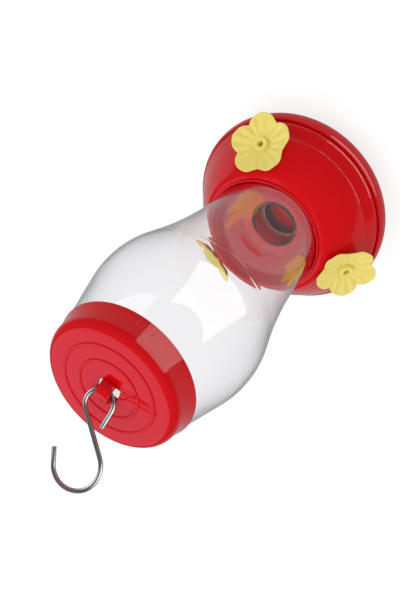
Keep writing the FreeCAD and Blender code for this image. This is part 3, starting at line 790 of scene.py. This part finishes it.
class DRINKER_OT_flowers(Operator):
    """Make the yellow flowers"""
    bl_idname = "drinker.flowers"
    bl_label = "Flowers"

    def execute(self, context):
        f = context.scene.drinker_flowers
        model = self.flower(f)
        material = yellow_plastic()
        for index in range(f.count):
            azimuth = f.first + 2 * math.pi * index / f.count
            copy = model.copy()
            copy.data = model.data.copy()
            context.collection.objects.link(copy)
            copy.name = "flower_moulding_%d" % (index + 1)
            tip = Vector((f.reach * math.cos(azimuth), f.reach * math.sin(azimuth), f.height))
            turned = Matrix.Rotation(azimuth, 4, "Z") @ Matrix.Rotation(f.lean, 4, "Y")
            spun = Matrix.Rotation(f.spins[index % len(f.spins)], 4, "Z")
            copy.data.transform(Matrix.Translation(tip) @ turned @ spun)
            dress(copy, "base", "flower_plastic", material, "flower_%d" % (index + 1))
        bpy.data.objects.remove(model)
        return {"FINISHED"}

    def petal_edge(self, f, angle):
        """Radius of the petals' outline in a direction, measured from the middle of a petal."""
        step = 2 * math.pi / f.petals
        off = (angle + step / 2) % step - step / 2
        reach = f.petal_centre * math.cos(off)
        reach += math.sqrt(f.petal_radius ** 2 - (f.petal_centre * math.sin(off)) ** 2)
        return reach, off / (step / 2)

    def flower(self, f):
        """One flower, upright: its tube's tip is at the origin."""
        corolla = self.corolla(f)
        seat = -f.depth - f.petal_wall
        low = seat - f.stem_length
        outline = [(f.bore, low), (f.stem - STEM_EDGE, low), (f.stem, low + STEM_EDGE), (f.stem, seat)]
        outline += [(f.tube, seat), (f.tube, -SOFT_EDGE)]
        outline += arc((f.tube - SOFT_EDGE, -SOFT_EDGE), SOFT_EDGE, 0.0, math.pi / 2, 4)
        outline += arc((f.bore + SOFT_EDGE, -SOFT_EDGE), SOFT_EDGE, math.pi / 2, math.pi, 4)
        tube = lathe("tube", outline, 48)
        return smooth(join(corolla, tube), 50)

    def corolla(self, f):
        """The five petals, drawn as rings from the cup's floor and then shaped by height and flutes."""
        deselect()
        start = f.tube - SOFT_EDGE
        bpy.ops.mesh.primitive_circle_add(vertices=180, radius=start)
        corolla = bpy.context.object
        edit_all()
        for ring in range(CUP_RINGS):
            bpy.ops.mesh.extrude_region()
            bpy.ops.transform.resize(value=(1.0 + 1.0 / (ring + 1),) * 3)
        bpy.ops.object.mode_set(mode="OBJECT")
        for vertex in corolla.data.vertices:
            angle = math.atan2(vertex.co.y, vertex.co.x)
            share = (vertex.co.length / start - 1.0) / CUP_RINGS
            edge, off = self.petal_edge(f, angle)
            reach = start + (edge - start) * share
            height = self.petal_height(f, reach, off, share)
            vertex.co = (reach * math.cos(angle), reach * math.sin(angle), height)
        apply_modifier(corolla, "SOLIDIFY", thickness=f.petal_wall, offset=-1.0)
        return apply_modifier(corolla, "BEVEL", width=PETAL_EDGE, segments=2, angle_limit=math.radians(50))

    def petal_height(self, f, reach, off, share):
        """Height of a petal's face: a cup, with flutes that fade in along the petal and out at its end."""
        full = f.petal_centre + f.petal_radius
        climb = max(0.0, reach - f.floor) / (full - f.floor)
        cup = -f.depth + (f.depth + f.rise) * (CUP_STRAIGHT * climb + CUP_CURVED * climb ** 2)
        cup -= f.groove * math.exp(-((reach - f.tube) / MM) ** 2)
        come = min(1.0, max(0.0, share * FLUTE_GAIN - FLUTE_DELAY))
        fade = come * (1.0 - FLUTE_LOSS * max(0.0, share - FLUTE_END) / (1.0 - FLUTE_END))
        return cup + f.flute * fade * math.cos(off * math.pi * RIDGES) - PETAL_DROOP * fade * off ** 2


class DRINKER_OT_stage(Operator):
    """Make the floor, the lamps and the camera"""
    bl_idname = "drinker.stage"
    bl_label = "Stage"

    def execute(self, context):
        s = context.scene.drinker_stage
        self.floor(s)
        self.surroundings(context, s)
        for name, place, *shape in SOFTBOXES:
            self.lamp(name, place, DRINKER_MIDDLE, *shape, glossy=False)
        self.lamp("Backdrop Panel", (0.3, 0.95, 0.95), DRINKER_MIDDLE, 1.3, 0.9, 0.7, tint=s.backdrop)
        for panels, pieces in REFLECTIONS:
            self.only_for(pieces, *[self.lamp(*panel, diffuse=False) for panel in panels])
        self.well_spot(s)
        self.camera(context, s)
        context.scene.view_settings.view_transform = "Standard"
        return {"FINISHED"}

    def floor(self, s):
        """A wide pale floor that shows white and keeps the object's shadow."""
        deselect()
        bpy.ops.mesh.primitive_plane_add(size=12.0, location=(0, 0, -0.0002))
        floor = settle(bpy.context.object)
        floor.name = "studio_floor"
        material = bpy.data.materials.new("Studio Floor")
        material.use_nodes = True
        tree = material.node_tree
        tree.nodes.remove(tree.nodes["Principled BSDF"])
        plain = add_node(tree, "ShaderNodeBsdfDiffuse", (0, 200), Color=(*s.floor, 1.0))
        dim = add_node(tree, "ShaderNodeBsdfDiffuse", (0, 0), Color=(*s.shadow_floor, 1.0))
        glow = add_node(tree, "ShaderNodeEmission", (0, -150), Color=WHITE)
        white = add_node(tree, "ShaderNodeAddShader", (250, -50))
        mix = add_node(tree, "ShaderNodeMixShader", (450, 100))
        self.by_ray(tree, glow, "Strength", 0.0, FLOOR_GLOW)
        self.by_ray(tree, mix, "Fac", 0.0, FLOOR_SEEN)
        link(tree, dim, "BSDF", white, 0)
        link(tree, glow, "Emission", white, 1)
        link(tree, plain, "BSDF", mix, 1)
        link(tree, white, "Shader", mix, 2)
        link(tree, mix, "Shader", tree.nodes["Material Output"], "Surface")
        floor.data.materials.append(material)

    def by_ray(self, tree, node, socket, start, shares):
        """Feed a node's input with a value that changes by a share for each kind of ray, never below 0."""
        path = add_node(tree, "ShaderNodeLightPath", (-1200, 400))
        last = add_node(tree, "ShaderNodeValue", (-1000, 200))
        last.outputs["Value"].default_value = start
        for index, (kind, share) in enumerate(shares):
            step = add_node(tree, "ShaderNodeMath", (200 * index - 800, 300))
            step.operation = "MULTIPLY_ADD"
            step.inputs[1].default_value = share
            link(tree, path, kind, step, 0)
            link(tree, last, "Value", step, 2)
            last = step
        least = add_node(tree, "ShaderNodeMath", (200 * len(shares) - 800, 300))
        least.operation = "MAXIMUM"
        least.inputs[1].default_value = 0.0
        link(tree, last, "Value", least, 0)
        link(tree, least, "Value", node, socket)

    def surroundings(self, context, s):
        """Even light from all round, which shows as white and is brighter through the bottle."""
        world = bpy.data.worlds.new("Studio")
        context.scene.world = world
        world.use_nodes = True
        background = feed(world.node_tree.nodes["Background"], Color=WHITE)
        self.by_ray(world.node_tree, background, "Strength", s.sky, SKY_SEEN)

    def lamp(self, name, place, aim, width, depth, level, tint=(1, 1, 1), diffuse=True, glossy=True):
        """A rectangular softbox at a place, aimed at a point. Its level is its brightness, white being 1."""
        light = bpy.data.lights.new(name, "AREA")
        light.shape = "RECTANGLE"
        light.size, light.size_y = width, depth
        light.energy = level * math.pi * width * depth
        light.color = tint
        box = bpy.data.objects.new(name, light)
        bpy.context.collection.objects.link(box)
        box.location = place
        box.rotation_euler = (Vector(aim) - Vector(place)).to_track_quat("-Z", "Y").to_euler()
        box.visible_camera = False
        box.visible_transmission = False
        box.visible_diffuse = diffuse
        box.visible_glossy = glossy
        return box

    def well_spot(self, s):
        """A soft spot down into the well under the neck, which the cap would keep dark."""
        light = bpy.data.lights.new("Well Spot", "SPOT")
        light.energy = s.well_power
        light.spot_size, light.spot_blend = s.well_spread, 0.3
        light.shadow_soft_size = 0.04
        spot = bpy.data.objects.new("Well Spot", light)
        bpy.context.collection.objects.link(spot)
        spot.location = s.well_place
        spot.rotation_euler = (s.well_middle - s.well_place).to_track_quat("-Z", "Y").to_euler()
        spot.visible_glossy = False
        self.only_for(("cover", "dish"), spot)
        blockers = bpy.data.collections.new("Blocks the Well Spot")
        blockers.objects.link(bpy.data.objects["cover"])
        spot.light_linking.blocker_collection = blockers

    def only_for(self, pieces, *lamps):
        """Let some lamps light only the named pieces."""
        lit = bpy.data.collections.new("Lit by " + lamps[0].name)
        for name in pieces:
            lit.objects.link(bpy.data.objects[name])
        for lamp in lamps:
            lamp.light_linking.receiver_collection = lit

    def camera(self, context, s):
        """The camera, placed and turned as the photo was taken."""
        lens = bpy.data.cameras.new("Camera")
        lens.lens = s.lens
        lens.sensor_width = 36.0
        lens.clip_start, lens.clip_end = 0.01, 30.0
        camera = bpy.data.objects.new("Camera", lens)
        context.collection.objects.link(camera)
        ahead, upward = Vector(s.ahead).normalized(), Vector(s.upward).normalized()
        right = ahead.cross(upward).normalized()
        axes = Matrix((right, right.cross(ahead), -ahead)).transposed().to_4x4()
        camera.matrix_world = Matrix.Translation(s.eye) @ axes
        context.scene.camera = camera


PIECES = (
    DRINKER_OT_dish,
    DRINKER_OT_cover,
    DRINKER_OT_bottle,
    DRINKER_OT_cap,
    DRINKER_OT_hook,
    DRINKER_OT_flowers,
    DRINKER_OT_stage,
)
SETTINGS = {
    "drinker_base": DrinkerBase,
    "drinker_bottle": DrinkerBottle,
    "drinker_cap": DrinkerCap,
    "drinker_hook": DrinkerHook,
    "drinker_flowers": DrinkerFlowers,
    "drinker_stage": DrinkerStage,
}


class DRINKER_PT_panel(Panel):
    """Sizes, colours and steps of the bird drinker"""
    bl_idname = "DRINKER_PT_panel"
    bl_label = "Hanging Bird Drinker"
    bl_space_type = "VIEW_3D"
    bl_region_type = "UI"
    bl_category = "Drinker"

    def draw(self, context):
        for step in PIECES:
            self.layout.operator(step.bl_idname)
        for name, group in SETTINGS.items():
            box = self.layout.box()
            box.label(text=name.replace("_", " ").title())
            for key in group.__annotations__:
                box.prop(getattr(context.scene, name), key)


def register():
    for name, group in SETTINGS.items():
        bpy.utils.register_class(group)
        setattr(bpy.types.Scene, name, PointerProperty(type=group))
    for step in PIECES:
        bpy.utils.register_class(step)
    bpy.utils.register_class(DRINKER_PT_panel)


def unregister():
    bpy.utils.unregister_class(DRINKER_PT_panel)
    for step in reversed(PIECES):
        bpy.utils.unregister_class(step)
    for name, group in reversed(SETTINGS.items()):
        delattr(bpy.types.Scene, name)
        bpy.utils.unregister_class(group)


def main():
    register()
    for step in PIECES:
        family, label = step.bl_idname.split(".")
        getattr(getattr(bpy.ops, family), label)()


if __name__ == "__main__":
    main()
